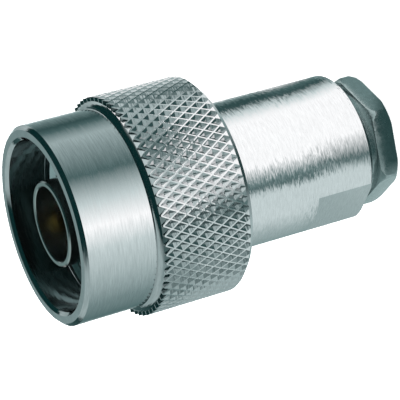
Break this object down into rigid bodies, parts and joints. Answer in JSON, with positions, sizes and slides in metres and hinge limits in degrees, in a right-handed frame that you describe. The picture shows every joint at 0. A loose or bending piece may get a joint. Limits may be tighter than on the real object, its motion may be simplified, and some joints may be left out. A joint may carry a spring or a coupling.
{
  "type": "n type coaxial plug",
  "caption": "Straight clamp-type coaxial plug: knurled coupling nut that turns and screws onto a jack, centre pin, and a hexagon clamp nut for the cable.",
  "frame": {"origin": "on the connector's axis, at the back face of the clamp nut, where the cable enters and on which it stands", "axes": "+Z along the axis from the cable entry to the mating rim; +X square to one of the shell's two wrench flats"},
  "size_m": [0.0206, 0.0206, 0.0342],
  "materials": {
    "nickel": "bright plated turned brass",
    "nickel_satin": "plated milled brass, slightly matt",
    "spring": "spring bronze, plated",
    "silver": "silver plated",
    "gold": "gold plated",
    "ptfe": "turned PTFE",
    "silicone": "moulded silicone",
    "neoprene": "moulded synthetic rubber"
  },
  "bodies": {
    "clamp_nut_body": {"clamp_nut": "nickel_satin"},
    "washer_body": {"slip_washer": "nickel"},
    "shell_body": {"shell": "nickel", "outer_contact": "silver", "interface_gasket": "silicone", "front_insulator": "ptfe", "rear_insulator": "ptfe", "centre_contact": "gold", "braid_clamp": "nickel", "cable_gasket": "neoprene", "retaining_ring": "spring"},
    "coupling_nut_body": {"coupling_nut": "nickel"}
  },
  "joints": [
    {"name": "clamp_turn", "type": "hinge", "parent": "clamp_nut_body", "child": "washer_body", "pos_m": [0, 0, 0.008], "axis": [0, 0, 1], "range_deg": [0, 1801]},
    {"name": "clamp_travel", "type": "slide", "parent": "washer_body", "child": "shell_body", "axis": [0, 0, 1], "range_m": [0, 0.00375]},
    {"name": "coupling_nut_turn", "type": "hinge", "parent": "shell_body", "child": "coupling_nut_body", "pos_m": [0, 0, 0.021], "axis": [0, 0, 1], "continuous": true}
  ],
  "couplings": [
    {"joint": "clamp_turn", "follows": "clamp_travel", "rad_per_m": 8377.6}
  ]
}
